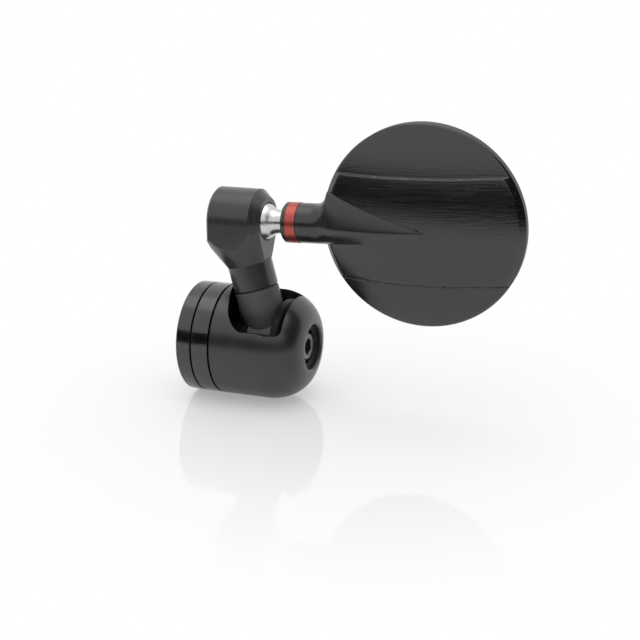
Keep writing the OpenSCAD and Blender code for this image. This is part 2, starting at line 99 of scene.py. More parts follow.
def makeToolMarks():
    # fine parallel lines that a tool leaves, with coarse ones between them
    group, source, sink = startGroup(
        "toolMarks",
        [
            ("Vector", "NodeSocketVector", None),
            ("Lines per metre", "NodeSocketFloat", 6000.0),
            ("Coarse share", "NodeSocketFloat", 0.35),
        ],
        [("Height", "NodeSocketFloat"), ("Tone", "NodeSocketFloat")],
    )
    links = group.links
    fine = addNode(group, "ShaderNodeTexNoise", -400, 150)
    fine.inputs["Detail"].default_value = 2.0
    fine.inputs["Roughness"].default_value = 0.55
    links.new(source.outputs["Vector"], fine.inputs["Vector"])
    links.new(source.outputs["Lines per metre"], fine.inputs["Scale"])
    coarseScale = mathNode(group, "MULTIPLY", -600, -150, source.outputs["Lines per metre"], 0.17)
    coarse = addNode(group, "ShaderNodeTexNoise", -400, -150)
    coarse.inputs["Detail"].default_value = 1.0
    links.new(source.outputs["Vector"], coarse.inputs["Vector"])
    links.new(coarseScale, coarse.inputs["Scale"])
    blend = addNode(group, "ShaderNodeMix", -100, 0, data_type="FLOAT")
    links.new(source.outputs["Coarse share"], blend.inputs["Factor"])
    links.new(fine.outputs["Fac"], blend.inputs["A"])
    links.new(coarse.outputs["Fac"], blend.inputs["B"])
    spread = addNode(group, "ShaderNodeMapRange", 150, -100)
    spread.inputs["From Min"].default_value = 0.3
    spread.inputs["From Max"].default_value = 0.7
    links.new(blend.outputs["Result"], spread.inputs["Value"])
    links.new(blend.outputs["Result"], sink.inputs["Height"])
    links.new(spread.outputs["Result"], sink.inputs["Tone"])
    return group


def makeSatinGrain():
    # the tiny pits of an etched or moulded skin
    group, source, sink = startGroup(
        "satinGrain",
        [("Vector", "NodeSocketVector", None), ("Grain per metre", "NodeSocketFloat", 9000.0)],
        [("Height", "NodeSocketFloat"), ("Cloud", "NodeSocketFloat")],
    )
    links = group.links
    grain = addNode(group, "ShaderNodeTexNoise", -400, 150)
    grain.inputs["Detail"].default_value = 3.0
    grain.inputs["Roughness"].default_value = 0.7
    links.new(source.outputs["Vector"], grain.inputs["Vector"])
    links.new(source.outputs["Grain per metre"], grain.inputs["Scale"])
    cloudScale = mathNode(group, "MULTIPLY", -600, -150, source.outputs["Grain per metre"], 0.016)
    cloud = addNode(group, "ShaderNodeTexNoise", -400, -150)
    cloud.inputs["Detail"].default_value = 4.0
    links.new(source.outputs["Vector"], cloud.inputs["Vector"])
    links.new(cloudScale, cloud.inputs["Scale"])
    spread = addNode(group, "ShaderNodeMapRange", -100, -150)
    spread.inputs["From Min"].default_value = 0.35
    spread.inputs["From Max"].default_value = 0.65
    links.new(cloud.outputs["Fac"], spread.inputs["Value"])
    links.new(grain.outputs["Fac"], sink.inputs["Height"])
    links.new(spread.outputs["Result"], sink.inputs["Cloud"])
    return group


def makeDyedSkin():
    # colour and roughness of dyed metal, from its tool marks and its clouding
    group, source, sink = startGroup(
        "dyedSkin",
        [
            ("Tone", "NodeSocketFloat", 0.5),
            ("Cloud", "NodeSocketFloat", 0.5),
            ("Cloud share", "NodeSocketFloat", 0.3),
            ("Dark", "NodeSocketColor", (0.01, 0.01, 0.01, 1)),
            ("Light", "NodeSocketColor", (0.03, 0.03, 0.03, 1)),
            ("Smooth", "NodeSocketFloat", 0.3),
            ("Rough", "NodeSocketFloat", 0.45),
        ],
        [("Color", "NodeSocketColor"), ("Roughness", "NodeSocketFloat")],
    )
    links = group.links
    blend = addNode(group, "ShaderNodeMix", -500, 0, data_type="FLOAT")
    links.new(source.outputs["Cloud share"], blend.inputs["Factor"])
    links.new(source.outputs["Tone"], blend.inputs["A"])
    links.new(source.outputs["Cloud"], blend.inputs["B"])
    paint = addNode(group, "ShaderNodeMix", -200, 120, data_type="RGBA")
    links.new(blend.outputs["Result"], paint.inputs["Factor"])
    links.new(source.outputs["Dark"], paint.inputs["A"])
    links.new(source.outputs["Light"], paint.inputs["B"])
    rough = addNode(group, "ShaderNodeMapRange", -200, -160)
    links.new(blend.outputs["Result"], rough.inputs["Value"])
    links.new(source.outputs["Smooth"], rough.inputs["To Min"])
    links.new(source.outputs["Rough"], rough.inputs["To Max"])
    links.new(paint.outputs["Result"], sink.inputs["Color"])
    links.new(rough.outputs["Result"], sink.inputs["Roughness"])
    return group


groups = {
    "turnedCoords": makeTurnedCoords(),
    "toolMarks": makeToolMarks(),
    "satinGrain": makeSatinGrain(),
    "dyedSkin": makeDyedSkin(),
}
print("shader groups built:", len(groups))


def placeGroup(tree, name, x, y, **values):
    node = addNode(tree, "ShaderNodeGroup", x, y, node_tree=groups[name])
    for label, value in values.items():
        node.inputs[label.replace("_", " ")].default_value = value
    return node


def machinedFinish(name, look):
    # metal, rubber or plastic with tool marks: turned round an axis, or milled in straight lines
    material = bpy.data.materials.new(name)
    material.use_nodes = True
    tree = material.node_tree
    links = tree.links
    shader = tree.nodes["Principled BSDF"]
    shader.inputs["Metallic"].default_value = look["metallic"]
    shader.inputs["IOR"].default_value = look.get("ior", 1.5)
    shader.inputs["Specular IOR Level"].default_value = look.get("gloss", 0.5)
    place = addNode(tree, "ShaderNodeTexCoord", -1500, 0)
    turn = addNode(tree, "ShaderNodeMapping", -1300, 0)
    turn.vector_type = "TEXTURE"
    turn.inputs["Location"].default_value = look.get("centre", (0, 0, 0))
    turn.inputs["Rotation"].default_value = look.get("turn", (0, 0, 0))
    turn.inputs["Scale"].default_value = look.get("stretch", (1, 1, 1))
    links.new(place.outputs["Object"], turn.inputs["Vector"])
    lines = turn.outputs["Vector"]
    if look["marks"] == "turned":
        around = placeGroup(tree, "turnedCoords", -1100, 150)
        links.new(turn.outputs["Vector"], around.inputs["Vector"])
        lines = around.outputs["Vector"]
    marks = placeGroup(tree, "toolMarks", -900, 150,
                       Lines_per_metre=look["lines"], Coarse_share=look.get("coarse", 0.35))
    links.new(lines, marks.inputs["Vector"])
    grain = placeGroup(tree, "satinGrain", -900, -150, Grain_per_metre=look.get("grain", 9000.0))
    links.new(place.outputs["Object"], grain.inputs["Vector"])
    skin = placeGroup(tree, "dyedSkin", -600, 150, Cloud_share=look.get("clouding", 0.3),
                      Dark=look["dark"], Light=look["light"], Smooth=look["smooth"], Rough=look["rough"])
    links.new(marks.outputs["Tone"], skin.inputs["Tone"])
    links.new(grain.outputs["Cloud"], skin.inputs["Cloud"])
    links.new(skin.outputs["Color"], shader.inputs["Base Color"])
    links.new(skin.outputs["Roughness"], shader.inputs["Roughness"])
    softEdge = addNode(tree, "ShaderNodeBevel", -600, -400, samples=4)
    softEdge.inputs["Radius"].default_value = look.get("edge", 0.15 * mm)
    skinBump = addNode(tree, "ShaderNodeBump", -400, -300)
    skinBump.inputs["Strength"].default_value = look.get("grainStrength", 0.1)
    skinBump.inputs["Distance"].default_value = fineRelief
    links.new(grain.outputs["Height"], skinBump.inputs["Height"])
    links.new(softEdge.outputs["Normal"], skinBump.inputs["Normal"])
    lineBump = addNode(tree, "ShaderNodeBump", -200, -300)
    lineBump.inputs["Strength"].default_value = look.get("lineStrength", 0.3)
    lineBump.inputs["Distance"].default_value = look.get("lineDeep", fineRelief)
    links.new(marks.outputs["Height"], lineBump.inputs["Height"])
    links.new(skinBump.outputs["Normal"], lineBump.inputs["Normal"])
    links.new(lineBump.outputs["Normal"], shader.inputs["Normal"])
    return material


# finishes, one dictionary each: turned marks run round a centre, which is given with the lean of its axis
armLean = math.radians(14.9)
mirrorRaise = math.radians(1.6)
ballPlace = (25.2 * mm, 0, 44.5 * mm)
socketPlace = (0, 0, 44.5 * mm)
ringBlack = {
    "marks": "turned", "lines": 9000.0, "coarse": 0.3, "metallic": 0.0, "ior": 1.74,
    "dark": (0.002, 0.002, 0.002, 1), "light": (0.009, 0.009, 0.0095, 1),
    "smooth": 0.12, "rough": 0.2, "lineStrength": 0.5, "edge": 0.2 * mm,
}
bodyBlack = {
    "marks": "turned", "lines": 9000.0, "coarse": 0.25, "metallic": 0.0, "ior": 1.66,
    "dark": (0.008, 0.0082, 0.0088, 1), "light": (0.019, 0.0193, 0.0205, 1),
    "smooth": 0.26, "rough": 0.34, "lineStrength": 0.05, "grainStrength": 0.12, "edge": 0.3 * mm,
}
# arm stem: black dye made a lighter grey than the other black parts, partly painted light that stands in for the light
# the slot shades off the stem
stemBlackPaintedLight = {
    "marks": "turned", "turn": (0, math.pi / 2 - armLean, 0), "centre": (28.3 * mm, 0, 0),
    "lines": 7000.0, "metallic": 0.0, "ior": 1.3,
    "dark": (0.08, 0.08, 0.08, 1), "light": (0.105, 0.105, 0.105, 1),
    "smooth": 0.36, "rough": 0.5, "lineStrength": 0.15, "edge": 0.2 * mm,
}
headBlack = {
    "marks": "turned", "centre": socketPlace, "lines": 7000.0, "metallic": 0.0, "ior": 1.57,
    "dark": (0.021, 0.021, 0.021, 1), "light": (0.035, 0.035, 0.035, 1),
    "smooth": 0.22, "rough": 0.32, "lineStrength": 0.25, "edge": 0.25 * mm,
}
neckBlack = {
    "marks": "turned", "centre": ballPlace, "turn": (0, -mirrorRaise, 0),
    "lines": 7000.0, "metallic": 0.0, "ior": 1.6,
    "dark": (0.013, 0.013, 0.013, 1), "light": (0.024, 0.024, 0.024, 1),
    "smooth": 0.18, "rough": 0.26, "lineStrength": 0.1, "grainStrength": 0.05, "edge": 0.6 * mm,
}
milledBlack = {
    "marks": "milled", "turn": (0, -mirrorRaise, 0), "stretch": (60, 4, 1),
    "lines": 2300.0, "coarse": 0.2, "metallic": 0.0, "ior": 1.68, "clouding": 0.1,
    "dark": (0.002, 0.002, 0.002, 1), "light": (0.01, 0.01, 0.0102, 1),
    "smooth": 0.19, "rough": 0.27, "lineStrength": 0.9, "lineDeep": 0.05 * mm, "grainStrength": 0.04,
    "edge": 0.12 * mm,
}
rimBlack = {
    "marks": "turned", "centre": (85.2 * mm, 0, 47 * mm), "lines": 5000.0, "metallic": 0.0, "gloss": 0.12,
    "dark": (0.022, 0.022, 0.022, 1), "light": (0.036, 0.036, 0.036, 1),
    "smooth": 0.3, "rough": 0.42, "lineStrength": 0.1, "edge": 0.12 * mm,
}
clampDark = {
    "marks": "turned", "lines": 3600.0, "metallic": 0.0, "ior": 1.22,
    "dark": (0.004, 0.004, 0.004, 1), "light": (0.01, 0.01, 0.01, 1),
    "smooth": 0.34, "rough": 0.5, "lineStrength": 0.3, "edge": 0.15 * mm,
}
screwSteel = {
    "marks": "turned", "lines": 6000.0, "metallic": 0.9,
    "dark": (0.09, 0.09, 0.095, 1), "light": (0.2, 0.2, 0.21, 1),
    "smooth": 0.25, "rough": 0.38, "lineStrength": 0.2, "edge": 0.12 * mm,
}
springSteel = {
    "marks": "turned", "centre": socketPlace, "lines": 4000.0, "metallic": 1.0,
    "dark": (0.3, 0.3, 0.31, 1), "light": (0.5, 0.5, 0.52, 1),
    "smooth": 0.22, "rough": 0.34, "lineStrength": 0.15, "edge": 0.1 * mm,
}
studSteel = {
    "marks": "turned", "centre": ballPlace, "turn": (0, -mirrorRaise, 0),
    "lines": 4500.0, "coarse": 0.5, "metallic": 1.0,
    "dark": (0.5, 0.5, 0.495, 1), "light": (0.72, 0.72, 0.705, 1),
    "smooth": 0.2, "rough": 0.34, "lineStrength": 0.12, "edge": 0.1 * mm,
}
ringRed = {
    "marks": "turned", "centre": ballPlace, "turn": (0, -mirrorRaise, 0),
    "lines": 5000.0, "coarse": 0.4, "metallic": 0.9,
    "dark": (0.38, 0.07, 0.055, 1), "light": (0.5, 0.11, 0.09, 1),
    "smooth": 0.27, "rough": 0.38, "lineStrength": 0.15, "edge": 0.12 * mm,
}
sealBlack = {
    "marks": "turned", "lines": 2500.0, "metallic": 0.0,
    "dark": (0.01, 0.01, 0.01, 1), "light": (0.022, 0.022, 0.022, 1),
    "smooth": 0.5, "rough": 0.65, "lineStrength": 0.1, "grainStrength": 0.3,
}
bearingCream = {
    "marks": "turned", "centre": socketPlace, "lines": 3000.0, "metallic": 0.0,
    "dark": (0.66, 0.64, 0.57, 1), "light": (0.78, 0.77, 0.71, 1),
    "smooth": 0.35, "rough": 0.5, "lineStrength": 0.12, "grainStrength": 0.2,
}
foamGrey = {
    "marks": "milled", "lines": 900.0, "metallic": 0.0, "grain": 3000.0,
    "dark": (0.012, 0.012, 0.012, 1), "light": (0.03, 0.03, 0.03, 1),
    "smooth": 0.8, "rough": 0.95, "lineStrength": 0.1, "grainStrength": 0.9,
}


def silveredGlass(name):
    look = {"tint": (0.86, 0.89, 0.9, 1), "tintWarm": (0.9, 0.91, 0.9, 1), "smooth": 0.015, "rough": 0.035}
    material = bpy.data.materials.new(name)
    material.use_nodes = True
    tree = material.node_tree
    shader = tree.nodes["Principled BSDF"]
    shader.inputs["Metallic"].default_value = 1.0
    shader.inputs["Coat Weight"].default_value = 1.0
    shader.inputs["Coat Roughness"].default_value = 0.01
    place = addNode(tree, "ShaderNodeTexCoord", -900, 0)
    grain = placeGroup(tree, "satinGrain", -700, 0, Grain_per_metre=2200.0)
    tree.links.new(place.outputs["Object"], grain.inputs["Vector"])
    skin = placeGroup(tree, "dyedSkin", -450, 0, Cloud_share=1.0, Dark=look["tint"], Light=look["tintWarm"],
                      Smooth=look["smooth"], Rough=look["rough"])
    tree.links.new(grain.outputs["Cloud"], skin.inputs["Cloud"])
    tree.links.new(skin.outputs["Color"], shader.inputs["Base Color"])
    tree.links.new(skin.outputs["Roughness"], shader.inputs["Roughness"])
    return material


finishes = {
    "ringBlack": machinedFinish("ringBlack", ringBlack),
    "bodyBlack": machinedFinish("bodyBlack", bodyBlack),
    "stemBlackPaintedLight": machinedFinish("stemBlackPaintedLight", stemBlackPaintedLight),
    "headBlack": machinedFinish("headBlack", headBlack),
    "neckBlack": machinedFinish("neckBlack", neckBlack),
    "milledBlack": machinedFinish("milledBlack", milledBlack),
    "rimBlack": machinedFinish("rimBlack", rimBlack),
    "clampDark": machinedFinish("clampDark", clampDark),
    "screwSteel": machinedFinish("screwSteel", screwSteel),
    "springSteel": machinedFinish("springSteel", springSteel),
    "studSteel": machinedFinish("studSteel", studSteel),
    "ringRed": machinedFinish("ringRed", ringRed),
    "sealBlack": machinedFinish("sealBlack", sealBlack),
    "bearingCream": machinedFinish("bearingCream", bearingCream),
    "foamGrey": machinedFinish("foamGrey", foamGrey),
    "silveredGlass": silveredGlass("silveredGlass"),
}
nodeFinishes = {
    "bar_spacer": "ringBlack",
    "pivot_base": "ringBlack",
    "body_shell": "bodyBlack",
    "outer_clamp_disc": "clampDark",
    "inner_clamp_disc": "clampDark",
    "pivot_bush": "bearingCream",
    "main_screw": "screwSteel",
    "screw_washer": "screwSteel",
    "arm_base": "stemBlackPaintedLight",
    "stem_washer": "sealBlack",
    "arm_head": "headBlack",
    "stem_grub_screw": "screwSteel",
    "ball_seat_rear": "bearingCream",
    "ball_seat_front": "bearingCream",
    "seat_spring": "springSteel",
    "tension_plug": "ringBlack",
    "ball_stud": "studSteel",
    "neck_nose": "neckBlack",
    "red_ring": "ringRed",
    "mirror_housing": "milledBlack",
    "neck_grub_screw": "screwSteel",
    "mirror_pad": "foamGrey",
    "mirror_glass": "silveredGlass",
}
for nodeName, finishName in nodeFinishes.items():
    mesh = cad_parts[nodeName].data
    mesh.materials.clear()
    mesh.materials.append(finishes[finishName])
print("finishes on the nodes:", len(nodeFinishes))


# helpers for modelling: a clean start in edit mode, and a finished piece with its place in its mesh
def startPiece(name):
    piece = bpy.context.active_object
    piece.name = name
    piece.data.name = name
    bpy.ops.object.mode_set(mode="EDIT")
    bpy.ops.mesh.select_all(action="SELECT")
    return piece


def onlySelect(piece):
    bpy.ops.object.select_all(action="DESELECT")
    piece.select_set(True)
    bpy.context.view_layer.objects.active = piece


def applyAll(piece):
    onlySelect(piece)
    for modifier in list(piece.modifiers):
        bpy.ops.object.modifier_apply(modifier=modifier.name)


def crispNormals(piece, angle):
    # smooth across small turns, with the wide faces kept flat
    onlySelect(piece)
    bpy.ops.object.shade_smooth_by_angle(angle=math.radians(angle))
    weigh = piece.modifiers.new("weighNormals", "WEIGHTED_NORMAL")
    weigh.keep_sharp = True
    applyAll(piece)


def closeShell(piece):
    # merged, closed and facing outwards
    onlySelect(piece)
    bpy.ops.object.mode_set(mode="EDIT")
    bpy.ops.mesh.select_all(action="SELECT")
    bpy.ops.mesh.remove_doubles(threshold=0.0005 * mm)
    bpy.ops.mesh.select_all(action="DESELECT")
    bpy.ops.mesh.select_mode(type="EDGE")
    bpy.ops.mesh.select_non_manifold(extend=False, use_wire=False, use_boundary=True,
                                     use_multi_face=False, use_non_contiguous=False, use_verts=False)
    bpy.ops.mesh.fill_holes(sides=0)
    bpy.ops.mesh.select_mode(type="VERT")
    bpy.ops.mesh.select_all(action="SELECT")
    bpy.ops.mesh.normals_make_consistent(inside=False)
    bpy.ops.object.mode_set(mode="OBJECT")


# machined back of the mirror in one piece with its neck, in millimetres and worked out flat: X across the disc,
# Y up it and Z the height of the back
backShape = {
    "turn": 4.5, "reach": 60.0, "up": 1.0,
    "radius": 35.1, "rimBack": 2.9, "rimFront": 0.9, "rimChamfer": 0.3, "backChamfer": 0.5, "rimWidth": 1.5,
    "pocket": 1.7, "dome": 7.2, "band": 0.8, "bandHalf": 17.9, "fillet": 0.4, "segments": 192,
    "rings": (0.25, 0.25, 0.25, 0.2, 0.45, 0.2, 0.3, 0.5, 1.0) + (1.5,) * 20,
    "neck": 7.0, "neckStart": -44.65, "seat": 5.4, "seatStart": -48.2, "bore": 3.06, "boreEnd": -35.6,
    "filletNeck": 6.0, "filletPlace": (-39.31, 12.0), "spearUp": 11.5, "spearTip": 3.5, "spearStart": -33.1,
    "lowStart": -27.0, "ridgeFade": 1.0, "ridgeRound": 0.45, "sink": 0.03, "points": 28,
    "flatUp": (-39.3, -27.0), "flatLow": (-34.0, -15.0), "notch": (0.55, 0.95, 1.35), "notchDeep": 0.3,
    "cuts": (-3.2, -1.8, -1.15, -1.0, -0.8, -0.55, -0.3, -0.1, 0.0, 0.1, 0.3, 0.55, 0.8, 1.0, 1.15, 1.375, 2.375,
             3.375, 3.6, 5.0),
    "grub": 3.04, "grubAt": -40.0, "columns": 22, "columnStep": 1.5,
    "sections": (
        ("neck", -44.65, 1.2, 5), ("neck", -39.25, 0.25, 18), ("neck", -34.7, 0.1, 1), ("root", -34.6, 0.15, 1),
        ("root", -34.45, 0.25, 8), ("root", -32.2, 0.9, 39), ("root", 2.45, 0.45, 1), ("root", 2.9, 0.3, 2),
        ("root", 3.4, 0.1, 1),
    ),
    "steep": 0.3, "rimBlend": 0.12, "rimBlendWidth": 0.25, "spearRise": 0.47, "spearBlend": 0.6,
    "lowCurve": 1.5, "lowHollow": 1.7, "leastWidth": 0.05, "wallAtTip": 0.35, "wallSlope": 0.06, "wallMost": 1.5,
}


def domeHeight(radius):
    look = backShape
    edge = look["radius"] - look["backChamfer"]
    ball = (edge ** 2 + look["dome"] ** 2) / (2 * look["dome"])
    return look["rimBack"] + look["dome"] - ball + math.sqrt(ball ** 2 - min(radius, edge + 2) ** 2)


def bandShare(up):
    # raised band with a rounded edge above and a fillet below
    look = backShape
    r = look["fillet"]
    out = abs(up) - look["bandHalf"]
    if out <= -r:
        return 1.0
    if out >= r:
        return 0.0
    if out < 0:
        return 0.5 + 0.5 * math.sqrt(max(r * r - (out + r) ** 2, 0)) / r
    return 0.5 - 0.5 * math.sqrt(max(r * r - (out - r) ** 2, 0)) / r


def backHeight(across, up):
    look = backShape
    radius = math.hypot(across, up)
    surface = domeHeight(radius) + look["band"] * bandShare(up)
    near, middle, far = look["notch"]
    out = -up - look["bandHalf"]
    if near < out < far:
        surface -= look["notchDeep"] * (1 - abs(out - middle) / (far - middle if out > middle else middle - near))
    cone = look["rimBack"] - look["backChamfer"] + look["radius"] - radius
    blend = look["rimBlend"] * max(0.0, min(1.0, (look["radius"] - radius) / look["rimBlendWidth"]))
    gap = surface - cone
    return 0.5 * (surface + cone - math.sqrt(gap * gap + blend * blend))


def makeBackDisc():
    look = backShape
    bpy.ops.object.select_all(action="DESELECT")
    bpy.ops.mesh.primitive_circle_add(vertices=look["segments"], radius=look["radius"] * mm, fill_type="NGON")
    disc = startPiece("mirrorBack")
    for step in look["rings"]:
        bpy.ops.mesh.inset(thickness=step * mm, use_boundary=True)
    bpy.ops.mesh.poke()
    r = look["fillet"]
    for side in (1, -1):
        for share in look["cuts"]:
            bpy.ops.mesh.select_all(action="SELECT")
            cut = side * (look["bandHalf"] + share * r) * mm
            bpy.ops.mesh.bisect(plane_co=(0, cut, 0), plane_no=(0, 1, 0))
    for number in range(-look["columns"], look["columns"] + 1):
        bpy.ops.mesh.select_all(action="SELECT")
        cut = number * look["columnStep"] * mm
        bpy.ops.mesh.bisect(plane_co=(cut, 0, 0), plane_no=(1, 0, 0))
    bpy.ops.object.mode_set(mode="OBJECT")
    for vertex in disc.data.vertices:
        vertex.co.z = backHeight(vertex.co.x / mm, vertex.co.y / mm) * mm
    # rim, front edge and pocket, each from the open edge
    rim = look["radius"]
    front = -look["rimFront"]
    steps = [
        (rim, front + look["rimChamfer"]), (rim - look["rimChamfer"], front),
        (rim - look["rimWidth"], front), (rim - look["rimWidth"], look["pocket"]),
    ]
    bpy.ops.object.mode_set(mode="EDIT")
    bpy.ops.mesh.select_all(action="DESELECT")
    bpy.ops.mesh.select_mode(type="EDGE")
    bpy.ops.mesh.select_non_manifold(extend=False, use_wire=False, use_boundary=True,
                                     use_multi_face=False, use_non_contiguous=False, use_verts=False)
    height = look["rimBack"] - look["backChamfer"]
    radius = rim
    for newRadius, newHeight in steps:
        bpy.ops.mesh.extrude_region_move(TRANSFORM_OT_translate={"value": (0, 0, (newHeight - height) * mm)})
        bpy.ops.transform.resize(value=(newRadius / radius, newRadius / radius, 1),
                                 center_override=(0, 0, newHeight * mm))
        radius, height = newRadius, newHeight
    bpy.ops.mesh.edge_face_add()
    bpy.ops.mesh.select_mode(type="VERT")
    bpy.ops.object.mode_set(mode="OBJECT")
    closeShell(disc)
    return disc


def smoothShare(value, low, high):
    share = max(0.0, min(1.0, (value - low) / (high - low)))
    return share * share * (3 - 2 * share)


def neckSection(at):
    # half widths, ridge and how far the round neck has become the spear, at one place along it
    look = backShape
    tip, start, rise = look["spearTip"], look["spearStart"], look["spearRise"]
    fx, fy = look["filletPlace"]
    neckMiddle = -look["up"]
    if at <= fx:
        top = look["neck"] + neckMiddle
    elif at < start - rise:
        top = fy - math.sqrt(max(look["filletNeck"] ** 2 - (at - fx) ** 2, 0))
    elif at < start:
        low = fy - math.sqrt(max(look["filletNeck"] ** 2 - (start - rise - fx) ** 2, 0))
        top = low + (look["spearUp"] - low) * (at - start + rise) / rise
    else:
        top = look["spearUp"] * (tip - at) / (tip - start)
    along = max(0.0, min(1.0, (at + look["radius"]) / (tip + look["radius"])))
    ridge = neckMiddle * (1 - along)
    fade = max(0.0, min(1.0, (at - look["lowStart"]) / (tip - look["lowStart"])))
    bottom = (neckMiddle - look["neck"]) * (1 - fade ** look["lowCurve"])
    change = smoothShare(at, fx, start + look["spearBlend"])
    return top, ridge, bottom, along, change


def neckHeight(at, share, side):
    look = backShape
    top, ridge, bottom, along, change = neckSection(at)
    edge = top if side > 0 else bottom
    up = ridge + (edge - ridge) * share
    arch = math.sqrt(max(1 - share * share, 0))
    width = max(abs(edge - ridge), look["leastWidth"])
    c = look["ridgeRound"] / width
    line = 1 - (math.sqrt(share * share + c * c) - c) / (math.sqrt(1 + c * c) - c)
    if side < 0:
        line = line ** look["lowHollow"]
    lift = (look["neck"] - domeHeight(look["radius"]) - look["band"]) * (1 - along) ** look["ridgeFade"]
    base = domeHeight(math.hypot(at, up)) + look["band"] - look["sink"]
    if side > 0:
        flat = smoothShare(at, *look["flatUp"])
        line = flat * line + (1 - flat) * arch
        return up, (1 - change) * look["neck"] * arch + change * (base + lift * line)
    # the round neck runs on into the dome below, and fades into it towards the tip
    top = domeHeight(math.hypot(at, ridge)) + look["band"] - look["sink"] + lift
    top = (1 - change) * look["neck"] + change * top
    flat = smoothShare(at, *look["flatLow"])
    return up, (1 - flat) * top * arch + flat * (base + lift * line)


def makeNeck():
    look = backShape
    count = look["points"]
    shares = [math.sin(math.pi / 2 * i / count) for i in range(count + 1)]
    places = []  # sections close together where the shape changes fast
    for kind, start, step, number in look["sections"]:
        places += [(start + step * i, kind) for i in range(number)]
    rings = []
    for radius, at in ((0.01, look["boreEnd"]), (look["bore"], look["boreEnd"]), (look["bore"], look["seatStart"]),
                       (look["seat"], look["seatStart"]), (look["seat"], look["neckStart"])):
        ring = []
        for i in range(4 * count):
            turn = math.pi / 2 - math.pi / 2 * i / count
            ring.append((at, -look["up"] + radius * math.sin(turn), radius * math.cos(turn)))
        rings.append(ring)
    for at, kind in places:
        front = [neckHeight(at, share, 1) for share in reversed(shares)]
        front += [neckHeight(at, share, -1) for share in shares[1:]]
        middle = (front[0][0] + front[-1][0]) / 2
        back = []
        for up, height in front[-2:0:-1]:
            if kind == "neck":
                ridge = neckSection(at)[1]
                edge = front[0][0] if up > ridge else front[-1][0]
                part = max(-1.0, min(1.0, (up - ridge) / (edge - ridge)))
                back.append((at, up, -look["neck"] * math.sqrt(max(1 - part * part, 0))))
            else:
                inside = min(look["wallMost"], look["wallAtTip"] + look["wallSlope"] * (look["spearTip"] - at))
                inner = domeHeight(min(math.hypot(at, up), look["radius"])) + look["band"] - inside
                back.append((at, middle + (up - middle) * 0.97, min(inner, height - 0.1)))
        rings.append([(at, up, height) for up, height in front] + back)
    bpy.ops.object.select_all(action="DESELECT")
    bpy.ops.mesh.primitive_grid_add(x_subdivisions=4 * count, y_subdivisions=len(rings) - 1, size=1)
    neck = bpy.context.active_object
    neck.name = "mirrorNeck"
    row = 4 * count + 1
    for number, vertex in enumerate(neck.data.vertices):
        across, up, height = rings[number // row][number % row % (4 * count)]
        vertex.co = (across * mm, up * mm, height * mm)
    closeShell(neck)
    return neck


def trueBackNormals(disc):
    # shading of the domed back from its worked-out height, so that the band's lines run clean
    mesh = disc.data
    step, near, leastRise, inward = 0.01, 0.002, 0.2, 0.05
    onBack = [abs(v.co.z / mm - backHeight(v.co.x / mm, v.co.y / mm)) < near for v in mesh.vertices]
    normals = [corner.vector.copy() for corner in mesh.corner_normals]
    for face in mesh.polygons:
        if face.normal.z < leastRise or not all(onBack[number] for number in face.vertices):
            continue
        for loop, number in zip(face.loop_indices, face.vertices):
            point = mesh.vertices[number].co.lerp(face.center, inward) / mm
            slopeAcross = backHeight(point.x + step, point.y) - backHeight(point.x - step, point.y)
            slopeUp = backHeight(point.x, point.y + step) - backHeight(point.x, point.y - step)
            normals[loop] = Vector((-slopeAcross, -slopeUp, 2 * step)).normalized()
    mesh.normals_split_custom_set(normals)


def makeMirrorBack():
    look = backShape
    disc = makeBackDisc()
    neck = makeNeck()
    bpy.ops.object.select_all(action="DESELECT")
    bpy.ops.mesh.primitive_cylinder_add(vertices=32, radius=look["grub"] / 2 * mm, depth=look["neck"] * mm,
                                        location=(look["grubAt"] * mm, (-look["up"] - look["neck"]) * mm, 0),
                                        rotation=(math.pi / 2, 0, 0))
    hole = bpy.context.active_object
    disc.data.materials.append(finishes["milledBlack"])
    disc.data.materials.append(finishes["rimBlack"])
    for face in disc.data.polygons:
        away = math.hypot(face.center.x, face.center.y) / mm
        if abs(face.normal.z) < look["steep"] and away > look["radius"] - look["rimChamfer"]:
            face.material_index = 1  # the wall round the rim
    neck.data.materials.append(finishes["neckBlack"])
    cut = neck.modifiers.new("grubHole", "BOOLEAN")
    cut.operation = "DIFFERENCE"
    cut.solver = "EXACT"
    cut.object = hole
    applyAll(neck)
    union = disc.modifiers.new("neckOn", "BOOLEAN")
    union.operation = "UNION"
    union.solver = "EXACT"
    union.material_mode = "TRANSFER"
    union.object = neck
    applyAll(disc)
    for helper in (hole, neck):
        bpy.data.objects.remove(helper, do_unlink=True)
    crispNormals(disc, 28)
    trueBackNormals(disc)
    place = Matrix.Translation(ballPlace) @ Matrix.Rotation(-mirrorRaise, 4, "Y")
    place = place @ Matrix.Rotation(math.radians(look["turn"]), 4, "X")
    place = place @ Matrix.Translation((look["reach"] * mm, 0, look["up"] * mm))
    disc.matrix_world = place @ Matrix.Rotation(math.pi / 2, 4, "X")
    bpy.ops.object.transform_apply(location=True, rotation=True, scale=True)
    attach(disc, "mirror")
    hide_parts("mirror_housing")
    return disc


mirrorBack = makeMirrorBack()
print("mirror back modelled:", len(mirrorBack.data.polygons), "faces")


# shapes turned about the X axis, from places along it and radii in millimetres
def turnProfile(name, points, steps=96):
    bpy.ops.object.select_all(action="DESELECT")
    bpy.ops.mesh.primitive_plane_add(size=mm)
    piece = startPiece(name)
    bpy.ops.mesh.merge(type="CENTER")
    last = (0, 0)
    for number, point in enumerate(points):
        step = ((point[0] - last[0]) * mm, 0, (point[1] - last[1]) * mm)
        if number:
            bpy.ops.mesh.extrude_vertices_move(TRANSFORM_OT_translate={"value": step})
        else:
            bpy.ops.transform.translate(value=step)
        last = point
    bpy.ops.mesh.select_all(action="SELECT")
    bpy.ops.mesh.spin(steps=steps, angle=2 * math.pi, center=(0, 0, 0), axis=(1, 0, 0))
    bpy.ops.object.mode_set(mode="OBJECT")
    closeShell(piece)
    return piece


